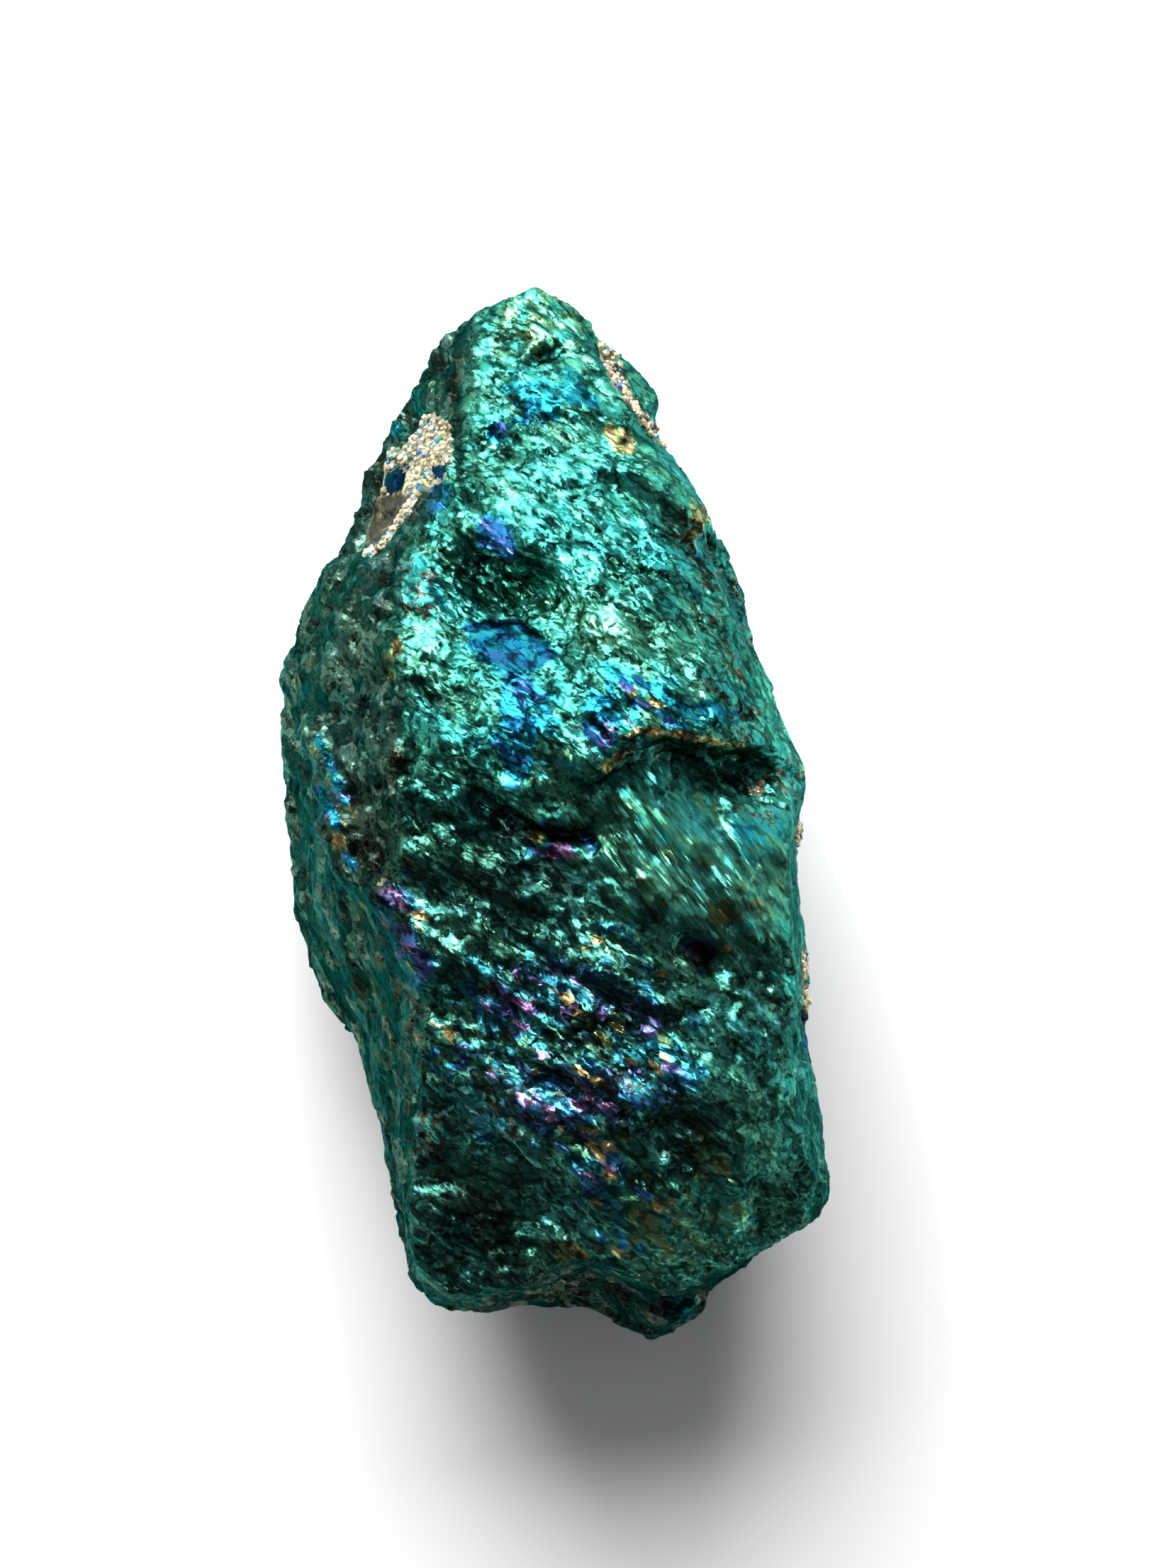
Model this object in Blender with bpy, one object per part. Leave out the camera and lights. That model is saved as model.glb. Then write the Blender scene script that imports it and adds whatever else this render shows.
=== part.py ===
"""Peacock ore: one rough lump of copper ore, as broken, lying on its back.

X runs across the lump, Y runs towards its pointed end, and Z is up. The lump lies
on a small flat break in its back, and its broad, ridged face looks up.
The origin is under the middle of the lump, on the surface that it lies on.
"""

import math

import bmesh
import bpy
import numpy as np
from mathutils import Matrix, Vector, noise
from mathutils.geometry import delaunay_2d_cdt

# Driving dimensions, in metres: the size of the finished lump.
LENGTH = 0.0501
WIDTH = 0.0262
HEIGHT = 0.0225

# The form below is in millimetres, and is fitted to those dimensions at the end.
# Each point is (across, along, up).

# The girdle is the widest line round the lump, clockwise from the pointed end.
GIRDLE_RIGHT = [
    (-1.1, 25.0, 12.6), (0.9, 24.0, 12.4), (1.8, 22.7, 11.4), (3.5, 21.6, 9.6),
    (4.6, 19.8, 8.8), (5.0, 18.0, 9.2), (6.3, 16.0, 10.4), (7.4, 14.2, 11.2),
    (8.2, 11.9, 10.2), (8.9, 10.4, 9.6), (9.4, 8.2, 10.6), (10.6, 4.9, 11.6),
    (11.8, 1.9, 12.2), (11.7, 0.1, 11.2), (11.4, -2.0, 9.8), (11.7, -4.6, 8.8),
    (12.2, -6.6, 8.4), (12.2, -10.2, 9.4), (12.4, -13.2, 10.6), (12.9, -16.6, 11.8),
]
GIRDLE_FOOT = [
    (12.9, -18.0, 11.6), (11.8, -19.2, 11.0), (10.4, -19.9, 10.4), (8.9, -21.5, 10.6),
    (7.8, -22.2, 9.8), (7.2, -23.6, 9.0), (5.8, -24.6, 8.8), (4.5, -25.1, 8.6),
    (3.2, -24.4, 8.2), (1.9, -23.4, 8.6), (-0.1, -23.3, 9.2), (-1.7, -23.1, 9.8),
    (-3.7, -23.5, 10.4), (-5.8, -23.0, 10.0), (-6.8, -21.5, 9.6), (-7.5, -19.6, 9.2),
]
GIRDLE_LEFT = [
    (-8.1, -17.2, 8.8), (-8.7, -14.2, 8.2), (-9.6, -11.0, 7.6), (-10.8, -9.2, 7.4),
    (-11.9, -7.2, 7.0), (-12.7, -4.9, 6.8), (-13.0, 0.1, 7.6), (-13.3, 3.4, 8.4),
    (-13.3, 6.6, 9.0), (-12.5, 8.9, 9.4), (-11.3, 11.4, 9.6), (-10.0, 13.6, 9.4),
    (-9.5, 16.4, 9.6), (-8.0, 18.7, 10.0), (-6.9, 20.8, 10.6), (-5.5, 22.7, 11.2),
    (-4.0, 23.9, 12.0), (-2.4, 24.4, 12.6),
]
GIRDLE = GIRDLE_RIGHT + GIRDLE_FOOT + GIRDLE_LEFT

# Lines that the upper skin breaks along. Each is a ridge, a rim or the foot of a step.
LEFT_RIDGE = [
    (-3.3, 23.0, 13.8), (-4.2, 20.4, 14.8), (-4.1, 18.0, 16.0), (-4.6, 15.8, 17.0),
    (-6.0, 13.6, 17.0), (-6.8, 11.2, 17.6), (-7.5, 8.6, 18.4), (-7.0, 6.0, 19.8),
    (-6.7, 2.8, 20.6), (-6.7, -0.6, 20.2), (-7.4, -3.6, 19.2), (-6.8, -6.0, 19.4),
    (-5.7, -8.2, 19.4), (-6.1, -11.8, 18.4), (-6.6, -15.6, 17.4), (-6.6, -18.8, 16.2),
]
RIGHT_RIM = [
    (1.4, 22.7, 13.4), (2.4, 20.3, 14.4), (3.6, 17.6, 15.6), (5.2, 15.6, 15.8),
    (6.6, 12.6, 16.0), (7.8, 9.6, 16.8), (8.8, 6.8, 17.6), (9.8, 4.4, 17.8),
]
LEDGE = [(2.0, 2.3, 21.8), (4.1, 3.8, 22.2), (7.2, 3.5, 21.2), (9.8, 3.2, 18.6)]
LEDGE_FOOT = [(2.6, 1.6, 20.6), (4.7, 2.9, 19.8), (7.0, 2.6, 18.4), (9.2, 2.2, 15.6)]
LOBE_HEM = [
    (-4.4, 15.2, 17.8), (-2.8, 13.9, 18.8), (-0.8, 12.3, 19.6), (0.7, 10.9, 20.0),
    (1.7, 8.9, 20.4),
]
HEM_FOOT = [
    (-5.6, 11.9, 17.7), (-4.3, 10.4, 17.8), (-3.0, 10.9, 17.1), (-1.9, 9.6, 17.0),
    (-0.9, 10.3, 17.4), (0.5, 9.4, 18.6),
]
BLUE_PLANE_RIM = [(-4.2, 8.6, 18.8), (-2.0, 8.8, 18.9), (0.4, 8.4, 19.3)]
BLUE_PLANE_HEM = [(-3.3, 6.7, 19.7), (-1.1, 6.4, 20.0), (0.7, 7.2, 20.3)]
RIGHT_EDGE = [
    (10.9, 0.6, 16.8), (10.6, -2.0, 17.6), (10.7, -5.3, 17.4), (11.0, -8.4, 17.2),
    (11.2, -11.6, 16.6), (11.5, -14.6, 16.4), (11.9, -17.0, 15.4), (12.1, -18.6, 14.4),
]
SCALLOPS = [
    (-6.3, -21.4, 14.4), (-4.1, -22.0, 15.2), (-1.4, -21.6, 15.6), (1.5, -19.9, 17.6),
    (3.9, -21.2, 17.2), (5.7, -21.7, 16.6), (8.0, -20.8, 16.2), (10.2, -19.7, 15.4),
]
UNDERCUT = [
    (-4.2, -22.6, 12.2), (-1.6, -22.2, 12.2), (1.6, -21.2, 13.0), (3.6, -22.2, 12.0),
    (5.6, -22.6, 11.6), (8.2, -21.3, 12.2), (9.5, -20.3, 12.6),
]
BREAK_LINES = [
    LEFT_RIDGE, RIGHT_RIM, LEDGE, LEDGE_FOOT, LOBE_HEM, HEM_FOOT, BLUE_PLANE_RIM,
    BLUE_PLANE_HEM, RIGHT_EDGE, SCALLOPS, UNDERCUT,
]

# Points between those lines.
UPPER_FACE = [
    (-1.1, 23.7, 14.0), (-0.9, 20.8, 15.6), (-2.6, 18.8, 16.4), (0.8, 18.6, 16.4),
    (-1.0, 16.2, 18.0), (1.8, 16.0, 17.8), (3.8, 14.6, 17.6), (1.6, 13.2, 18.8),
    (4.4, 11.6, 18.6), (2.8, 10.8, 19.6), (5.4, 8.8, 19.4), (3.4, 7.6, 20.8),
    (-5.9, 9.6, 18.7), (-5.6, 7.0, 19.6), (-4.6, 4.2, 21.0), (-1.2, 3.8, 21.6),
    (1.6, 5.2, 21.6), (5.0, 5.6, 21.6), (7.4, 6.0, 20.0),
]
LOWER_FACE = [
    (-3.4, 1.4, 21.4), (-0.6, 1.4, 21.6), (-3.4, -0.8, 20.4), (-0.4, -1.6, 20.2),
    (2.2, -1.4, 20.4), (5.0, -1.2, 20.4), (8.0, -1.6, 19.2), (9.4, 0.0, 18.0),
    (-4.1, -4.4, 20.0), (-0.3, -5.0, 19.8), (3.8, -5.4, 20.2), (7.8, -5.6, 19.4),
    (-2.8, -8.8, 19.8), (1.2, -9.6, 20.2), (5.2, -9.4, 19.8), (8.8, -10.4, 18.6),
    (-3.4, -13.4, 18.8), (0.6, -13.4, 19.6), (4.6, -13.4, 19.6), (8.4, -14.6, 18.6),
    (-3.2, -17.4, 16.8), (-0.4, -17.0, 17.2), (2.2, -17.0, 18.6), (5.0, -17.4, 18.8),
    (8.4, -18.0, 17.6), (-3.2, -19.8, 16.0),
]
LEFT_FLANK = [
    (-5.8, 20.2, 12.6), (-6.8, 17.4, 13.0), (-7.8, 14.4, 13.4), (-8.6, 12.4, 14.0),
    (-9.8, 9.8, 14.2), (-11.0, 6.6, 13.8), (-9.0, 5.0, 17.0), (-10.6, 2.6, 15.4),
    (-11.9, 1.2, 12.6), (-9.6, -0.6, 16.4), (-9.0, -3.0, 16.8), (-11.5, -3.4, 11.4),
    (-9.9, -6.6, 12.2), (-8.2, -8.0, 14.4), (-8.3, -11.8, 12.4), (-7.7, -15.2, 12.6),
    (-7.1, -18.8, 12.2),
]
TOOTH = [(3.6, -23.4, 10.6), (5.0, -23.7, 11.2), (6.4, -23.2, 10.8)]

# The under skin. The first points are the small flat break that the lump lies on.
RESTING_FACE = [
    (-3.4, 6.2, 0.0), (0.2, 8.4, 0.0), (3.6, 5.4, 0.0), (4.8, -1.4, 0.0),
    (3.4, -8.2, 0.0), (-0.6, -9.4, 0.0), (-3.8, -6.6, 0.0), (-4.8, -0.6, 0.0),
]
UNDER_FACE = [
    (-1.0, 22.6, 8.4), (1.6, 18.8, 5.4), (-4.8, 19.2, 5.6), (-7.6, 14.8, 5.0),
    (3.8, 13.6, 4.2), (-1.8, 14.8, 2.4), (-10.4, 9.4, 4.8), (7.0, 8.8, 4.6),
    (-6.8, 8.0, 1.8), (-11.6, 3.0, 3.8), (9.4, 3.4, 5.4), (-8.4, 1.2, 1.4),
    (-11.0, -3.6, 3.0), (9.8, -2.6, 4.0), (7.4, 0.6, 1.6), (-7.4, -6.6, 1.6),
    (10.4, -9.0, 3.8), (6.8, -8.6, 1.4), (-6.8, -13.6, 3.4), (8.8, -14.8, 3.6),
    (11.0, -16.8, 6.2), (-5.8, -19.6, 5.6), (-1.4, -16.6, 2.2), (4.0, -15.8, 1.8),
    (6.8, -19.9, 5.2), (1.2, -21.6, 5.4), (4.4, -23.0, 5.8), (-3.4, -22.2, 7.4),
]

# Steps: the line that the rock breaks off along, how high the step is, and how far its
# upper side takes to fall back to the face. The upper side is to the right of the line.
STEPS = [
    ([(7.6, 11.9), (5.6, 13.4), (3.6, 14.8), (1.4, 15.8)], 0.9, 2.2),
    ([(6.4, 8.6), (4.4, 9.4), (2.6, 10.9)], 0.6, 1.8),
    ([(-0.6, 5.0), (-2.6, 5.6), (-4.6, 6.6)], 0.4, 1.4),
    ([(3.4, 4.6), (1.6, 6.4), (-0.2, 7.6)], 0.4, 1.2),
    ([(2.6, 17.2), (0.4, 18.4), (-2.2, 18.0)], 0.4, 1.4),
    ([(1.8, -0.9), (-0.8, -0.5), (-3.5, 0.7)], 0.8, 1.8),
    ([(5.2, -6.4), (3.8, -3.4), (2.4, 0.4)], 0.6, 1.6),
    ([(9.6, -6.6), (7.8, -4.2), (6.6, -1.6)], 0.6, 1.8),
    ([(6.6, -9.6), (3.6, -8.2), (1.0, -6.2)], 0.5, 1.4),
    ([(1.2, -10.8), (-1.0, -9.0), (-3.6, -6.8)], 0.6, 1.4),
    ([(4.6, -14.8), (2.0, -12.4), (-1.6, -10.4)], 0.7, 1.6),
    ([(7.8, -13.6), (5.6, -12.4), (4.0, -10.4)], 0.5, 1.4),
    ([(1.4, -18.6), (-0.6, -15.8), (-2.6, -13.8)], 0.7, 1.6),
    ([(-3.2, -16.4), (-4.4, -13.6), (-5.2, -11.4)], 0.4, 1.2),
    ([(9.9, -17.4), (7.4, -16.6), (5.4, -15.6)], 0.4, 1.6),
]

# Crests and crevices: the line, the half width, and the height (below nought, the depth).
CRESTS = [
    ([(-11.0, 3.8), (-9.6, 0.8), (-9.4, -2.0), (-7.6, -3.4)], 1.1, 0.9),
    ([(-10.8, 1.4), (-9.9, -0.6)], 0.7, 0.5),
    ([(-8.2, 13.2), (-9.6, 9.4), (-10.4, 6.4)], 1.0, 0.4),
    ([(4.4, 22.0), (4.6, 19.4)], 0.9, 0.7),
]
CREVICES = [
    ([(-3.5, 0.6), (-0.8, -0.6), (1.6, -1.0)], 0.6, -1.5),
    ([(-6.7, 3.1), (-7.0, 1.8)], 0.5, -1.4),
    ([(-1.0, 21.2), (0.2, 21.5)], 0.5, -0.8),
    ([(8.2, 2.2), (9.4, 1.9)], 0.7, -0.6),
    ([(6.0, -5.8), (7.6, -6.8)], 0.8, -0.9),
    ([(3.2, 18.2), (2.9, 19.4)], 0.8, 0.3),
    ([(-6.8, 18.4), (-8.0, 15.4), (-8.4, 13.0)], 1.6, -0.6),
    ([(2.4, 22.2), (3.9, 19.6), (4.9, 17.4)], 0.7, -0.5),
]

# Chips: small flat breaks, longer along the grain, which runs down to the right.
# Each row is the width of a chip, its depth and a seed.
GRAIN_ANGLE = math.radians(-38.0)
GRAIN_STRETCH = 1.8
CHIPS = [(5.6, 0.85, 11.3), (2.7, 0.42, 37.9), (1.5, 0.20, 71.7)]
CHIP_STEEPNESS = 1.5
CHIP_ROUNDNESS = 0.55
FLAT_GUARD = 1.5

# A step's broken side is this steep: it falls over so many millimetres.
STEP_FALL = 0.35

# The facets, in millimetres, and how many are kept.
EDGE_ABOVE = 0.62
EDGE_BELOW = 0.95
SPLITS = 5
SOFTENING_PASSES = 3
SOFTENING = 0.3
FACETS_KEPT = 9600


def skin(lines, loose):
    """Triangles inside the girdle: (places, faces, where the girdle's own points are)."""
    points = list(GIRDLE)
    count = len(GIRDLE)
    links = [(i, (i + 1) % count) for i in range(count)]
    for line in lines:
        first = len(points)
        links += [(first + i, first + i + 1) for i in range(len(line) - 1)]
        points += line
    points += loose
    flat = [Vector((x, y)) for x, y, _ in points]
    spread, _, faces, origins, _, _ = delaunay_2d_cdt(flat, links, [], 1, 1e-5)
    places = [(p.x, p.y, points[found[0]][2]) for p, found in zip(spread, origins)]
    order = {found[0]: new for new, found in enumerate(origins)}
    return places, faces, [order[i] for i in range(count)]


def closed_form():
    """The upper and under skins joined along the girdle, as one closed mesh of large planes."""
    form = bmesh.new()
    above = skin(BREAK_LINES, UPPER_FACE + LOWER_FACE + LEFT_FLANK + TOOTH)
    below = skin([], RESTING_FACE + UNDER_FACE)
    rim = None
    for places, faces, girdle in (above, below):
        shared = dict(zip(girdle, rim)) if rim else {}
        made = [shared.get(i) or form.verts.new(p) for i, p in enumerate(places)]
        rim = rim or [made[i] for i in girdle]
        for face in faces:
            form.faces.new([made[i] for i in face])
    bmesh.ops.recalc_face_normals(form, faces=form.faces[:])
    return form


def longest_allowed(edge):
    """How long this edge may stay: short where it faces up, longer underneath."""
    up = sum(face.normal.z for face in edge.link_faces)
    return EDGE_ABOVE if up > -0.2 else EDGE_BELOW


def refine(form):
    """Splits long edges, so that the facets come out small."""
    for _ in range(SPLITS):
        form.normal_update()
        long_edges = [e for e in form.edges if e.calc_length() > longest_allowed(e)]
        bmesh.ops.subdivide_edges(form, edges=long_edges, cuts=1)
        many_sided = [f for f in form.faces if len(f.verts) > 3]
        bmesh.ops.triangulate(form, faces=many_sided, quad_method="SHORT_EDGE")


def soften(form):
    """Rounds the planes into each other a little."""
    for _ in range(SOFTENING_PASSES):
        bmesh.ops.smooth_vert(
            form,
            verts=form.verts[:],
            factor=SOFTENING,
            use_axis_x=True,
            use_axis_y=True,
            use_axis_z=True,
        )


def measure_from(line, across):
    """Each point's distance from a line, seen from above, and which side of it it is on."""
    nearest = np.full(len(across), np.inf)
    side = np.zeros(len(across))
    line = np.array(line)
    for start, end in zip(line[:-1], line[1:]):
        run = end - start
        offset = across - start
        share = np.clip(offset @ run / (run @ run), 0.0, 1.0)
        gap = np.linalg.norm(offset - share[:, None] * run, axis=1)
        turn = run[0] * offset[:, 1] - run[1] * offset[:, 0]
        closer = gap < nearest
        nearest = np.where(closer, gap, nearest)
        side = np.where(closer, np.sign(turn), side)
    return nearest, side


def end_fade(line, across, reach):
    """1 beside the middle of a line, falling to nought past its two ends."""
    line = np.array(line)
    fade = np.ones(len(across))
    for end, inner in ((line[0], line[1]), (line[-1], line[-2])):
        inward = (inner - end) / np.linalg.norm(inner - end)
        fade *= np.clip(((across - end) @ inward) / reach, 0.0, 1.0)
    return fade


def relief(across):
    """The height that the steps, crests and crevices add at each point."""
    height = np.zeros(len(across))
    for line, rise, reach in STEPS:
        gap, side = measure_from(line, across)
        raised = np.clip(0.5 - gap * side / STEP_FALL, 0.0, 1.0)
        height += rise * raised * np.exp(-gap / reach) * end_fade(line, across, reach)
    for line, half_width, rise in CRESTS + CREVICES:
        gap, _ = measure_from(line, across)
        height += rise * np.clip(1.0 - gap / half_width, 0.0, 1.0)
    return height


def chips(place, width, seed):
    """Height, in chip widths, of a surface of flat tilted chips with sharp grooves between."""
    along = Matrix.Rotation(-GRAIN_ANGLE, 3, "Z") @ place
    cell = Vector((along.x / GRAIN_STRETCH, along.y, along.z)) / width + Vector((seed,) * 3)
    _, centres = noise.voronoi(cell)
    heights = []
    for centre in centres:
        tilt = noise.cell_vector(centre * 3.7) - Vector((0.5, 0.5, 0.5))
        offset = cell - centre
        heights.append(CHIP_STEEPNESS * tilt.dot(offset) - CHIP_ROUNDNESS * offset.length_squared)
    return max(heights)


def guard(height):
    """Nought on the resting face and 1 well above it, so that the flat break stays flat."""
    share = min(max(height / FLAT_GUARD, 0.0), 1.0)
    return share * share * (3.0 - 2.0 * share)


def break_surface(form):
    """Gives the planes their steps and crests, then breaks them up into chips."""
    form.normal_update()
    across = np.array([v.co[:2] for v in form.verts])
    facing_up = np.clip([v.normal.z * 3.0 for v in form.verts], 0.0, 1.0)
    moves = relief(across) * facing_up
    for vert, move in zip(form.verts, moves):
        vert.co += vert.normal * move
    form.normal_update()
    depths = []
    for vert in form.verts:
        depth = sum(deep * chips(vert.co, width, seed) for width, deep, seed in CHIPS)
        depths.append(depth * guard(vert.co.z) * (0.45 + 0.55 * abs(vert.normal.z)))
    for vert, depth in zip(form.verts, depths):
        vert.co += vert.normal * depth


def cut_resting_face(form):
    """Cuts the underside off level, just above the flat break, and closes it with one face."""
    level = min(v.co.z for v in form.verts) + 0.15
    everything = form.verts[:] + form.edges[:] + form.faces[:]
    cut = bmesh.ops.bisect_plane(
        form,
        geom=everything,
        plane_co=(0.0, 0.0, level),
        plane_no=(0.0, 0.0, -1.0),
        clear_outer=True,
    )
    rim = [item for item in cut["geom_cut"] if isinstance(item, bmesh.types.BMEdge)]
    bmesh.ops.contextual_create(form, geom=rim)
    bmesh.ops.recalc_face_normals(form, faces=form.faces[:])


def fit_to_size(form):
    """Scales the form to the driving dimensions and sets the origin under its middle."""
    places = np.array([v.co for v in form.verts])
    low, high = places.min(axis=0), places.max(axis=0)
    scale = np.array([WIDTH, LENGTH, HEIGHT]) / (high - low)
    foot = np.array([(low[0] + high[0]) / 2, (low[1] + high[1]) / 2, low[2]])
    for vert, place in zip(form.verts, (places - foot) * scale):
        vert.co = place


def thin_out(mesh):
    """Keeps the facets that carry the shape: few on a plane, many on a ridge."""
    holder = bpy.data.objects.new("rough_form", mesh)
    bpy.context.scene.collection.objects.link(holder)
    thinning = holder.modifiers.new("thinning", "DECIMATE")
    thinning.ratio = FACETS_KEPT / len(mesh.polygons)
    graph = bpy.context.evaluated_depsgraph_get()
    kept = bpy.data.meshes.new_from_object(holder.evaluated_get(graph))
    bpy.data.objects.remove(holder)
    return kept


def ore_material():
    """Teal tarnish on a metallic ore."""
    material = bpy.data.materials.new("tarnished_ore")
    material.use_nodes = True
    shader = material.node_tree.nodes["Principled BSDF"]
    shader.inputs["Base Color"].default_value = (0.02, 0.27, 0.24, 1.0)
    shader.inputs["Metallic"].default_value = 0.9
    shader.inputs["Roughness"].default_value = 0.35
    return material


def make_ore():
    form = closed_form()
    refine(form)
    soften(form)
    break_surface(form)
    rough = bpy.data.meshes.new("rough_form")
    form.to_mesh(rough)
    form.free()
    form = bmesh.new()
    form.from_mesh(thin_out(rough))
    cut_resting_face(form)
    fit_to_size(form)
    bmesh.ops.triangulate(form, faces=form.faces[:])
    mesh = bpy.data.meshes.new("peacock_ore")
    form.to_mesh(mesh)
    form.free()
    mesh.materials.append(ore_material())
    ore = bpy.data.objects.new("peacock_ore", mesh)
    bpy.context.scene.collection.objects.link(ore)


def main():
    for old in list(bpy.data.objects):
        bpy.data.objects.remove(old)
    make_ore()


main()
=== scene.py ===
"""The looks of the peacock ore: a tarnished, crinkled lump on a pale floor."""

import math

import bmesh
import bpy
import numpy as np
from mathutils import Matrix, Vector


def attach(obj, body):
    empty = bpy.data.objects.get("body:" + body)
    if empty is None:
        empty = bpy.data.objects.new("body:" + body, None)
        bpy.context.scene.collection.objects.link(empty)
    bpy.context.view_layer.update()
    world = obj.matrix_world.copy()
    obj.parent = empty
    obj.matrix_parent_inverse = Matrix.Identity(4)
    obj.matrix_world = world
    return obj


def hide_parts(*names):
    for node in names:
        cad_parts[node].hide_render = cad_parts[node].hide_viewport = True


MM = 0.001

# The camera looks straight down on the lump's broad face.
PICTURE_SPAN = 74.5 * MM
PICTURE_MIDDLE = (1.72 * MM, 1.57 * MM)
GIRDLE_HEIGHT = 10.0 * MM
CAMERA_DISTANCE = 200.0 * MM
NEAREST_SEEN = 0.01
SENSOR = 36.0

# A broad light beyond the pointed end, and a weak one on the left: place, width and power.
WINDOW_LIGHT = ((-0.05, 0.31, 0.24), 0.34, 4.6)
SIDE_LIGHT = ((-0.34, 0.02, 0.12), 0.10, 0.12)
# The room brightens from behind the foot to beyond the pointed end: its colour, how bright it
# is at both, and the part of the way over which it changes.
ROOM_COLOUR = (0.92, 0.96, 1.0)
ROOM_LIGHT = (0.07, 0.45)
ROOM_CHANGE = (-0.2, 0.6)
FLOOR_WIDTH = 4.0
FLOOR_GREY = 0.88
FLOOR_ROUGHNESS = 0.9

# The skin of the lump is remade in small even faces, then broken into chips that are
# longer along the grain. Each row is a chip's width, its depth and how far its edge wanders.
SKIN_FACE = 0.22 * MM
WELD = 0.001 * MM
GRAIN_ANGLE = math.radians(36.0)
GRAIN_STRETCH = 2.5
CHIPS = [
    (2.60 * MM, 0.30 * MM, 0.40),
    (1.20 * MM, 0.20 * MM, 0.45),
    (0.62 * MM, 0.15 * MM, 0.40),
]
SHARDS = [(1.50 * MM, 0.50 * MM, 0.30)]
# Each list of chips starts its random cells somewhere else.
CHIPS_START = 3.0
SHARDS_START = 11.0
# A chip's middle height and how steeply it tilts, both as shares of its depth, and how many
# times its edge wanders across one chip.
CHIP_MEAN = 0.22
CHIP_TILT = 1.6
EDGE_WAVES = 1.3
# Sharp folds run across the chips, and fall away on both sides.
FOLD_WIDTH = 1.7 * MM
FOLD_DEPTH = 0.05 * MM
FOLD_STEEPNESS = 4.0
# The crinkling starts this far above the floor, and is this much of full depth on a wall.
RESTING_GUARD = 1.6 * MM
WALL_DEPTH = 0.75
WALL_FACING = 0.7

# Facets too small for faces are in the finish: how wide they are, and how far they lean.
FACETS = [
    (0.80 * MM, 0.18),
    (0.34 * MM, 0.32),
    (0.15 * MM, 0.46),
]
FACET_STRETCH = 2.0
FACET_WANDER = 0.9
# They lean this much where the skin is smooth, and this much more where it is wrinkled, and
# where it is shattered.
SMOOTH_LEAN = 0.3
WRINKLED_LEAN = 0.7
SHATTERED_LEAN = 1.2
# Striae are long narrow facets at a steeper angle, which face a little towards the pointed end.
STRIA_ANGLE = math.radians(52.0)
STRIA_STRETCH = 8.0
STRIAE = [(0.30 * MM, 0.36), (0.12 * MM, 0.44)]
STRIA_WANDER = 0.35
STRIA_FACING = (0.0, 0.11, 0.0)

# Uneven places in the finish, in waves to the metre.
BROAD_WAVES = 330.0
RAGGED_WAVES = 1100.0
ROCK_WAVES = 1500.0

# Painted shade in thin creases and wrinkles: their spacing and detail, how far from its middle a
# line begins and ends to fade, and how much light it leaves.
CREASE = (0.50 * MM, 2.0, 0.004, 0.035, 0.30)
WRINKLE = (1.0 * MM, 3.0, 0.012, 0.060, 0.20)
CREASE_RAGGED = 0.06
# Painted shade on the film hides the wider lines, and striated film hides them all.
SHADE_COVERS = 0.9
STRIATED_COVERS = 0.9
# Brown stain follows the creases, and breaks off where the broad waves are low.
STAIN_COLOUR = (0.26, 0.13, 0.06)
STAIN_WIDTH = (0.01, 0.06)
STAIN_RAGGED = 0.14
STAIN_BREAK = 0.08
# The gaps between chips get painted shade: how high it reaches, how ragged it is, and how much
# light it leaves.
GAP_REACH = (-0.9, -0.4)
GAP_RAGGED = 1.2
GAP_SHADE = 0.45

# The tarnish is a thin film. Its colour follows its thickness, from 0 to 1.
FILM_COLOURS = [
    (0.00, (0.60, 0.46, 0.20)),
    (0.13, (0.40, 0.46, 0.17)),
    (0.27, (0.13, 0.42, 0.22)),
    (0.42, (0.050, 0.38, 0.29)),
    (0.55, (0.020, 0.36, 0.42)),
    (0.67, (0.010, 0.25, 0.50)),
    (0.80, (0.07, 0.18, 0.54)),
    (0.91, (0.22, 0.18, 0.52)),
    (1.00, (0.42, 0.24, 0.48)),
]
PLAIN_FILM = 0.41
# How far the film changes with the waves and from facet to facet, and how much further
# from facet to facet in a patch.
FILM_BROAD = 0.26
FILM_RAGGED = 0.12
FILM_SPECKLE = 0.07
PATCH_SPECKLE = 0.14
# How ragged a patch's edge is, and the strengths between which it shows.
PATCH_RAGGED = 2.2
PATCH_EDGE = (0.46, 0.62)
# Facets with a random number past these are spots, with this much more or less film, where
# the strength of the spots is past the last pair.
BLUE_SPOTS = (0.80, 0.84)
BLUE_FILM = 0.34
GOLD_SPOTS = (0.93, 0.95)
GOLD_FILM = -0.60
SPOTTED_EDGE = (0.3, 0.7)

# A grey haze added to the film where it has painted shade, and how unevenly broad and small
# facets are painted there: the least brightness, and how much more the brightest has.
SHADE_HAZE = (0.050, 0.042, 0.028)
SHADE_MOTTLE_BROAD = (0.15, 2.4)
SHADE_MOTTLE_SMALL = (0.4, 1.2)
# The plain roughness, and what a facet and rock may add to it.
ROUGHNESS = 0.28
FACET_ROUGHNESS = 0.16
ROCK_ROUGHNESS = 0.3
# The thin clear coat, and the tint of what the film reflects at a glancing angle.
COAT = 0.05
COAT_ROUGHNESS = 0.20
EDGE_TINT = (0.25, 0.60, 0.58)

# Rock, from the white of a vein to brown, and how much its grain changes tone and edge.
ROCK_TONES = [
    (0.00, (0.56, 0.54, 0.46)),
    (0.35, (0.30, 0.28, 0.20)),
    (0.65, (0.15, 0.12, 0.055)),
    (1.00, (0.028, 0.020, 0.008)),
]
TONE_GRAIN = -1.4
ROCK_GRAIN = 0.9
ROCK_EDGE = (0.42, 0.62)

# Crystals stand where a face is surely rock, and not on brown rock.
CRYSTAL_ROCK = 0.6
CRYSTAL_TONE = 0.8
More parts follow.
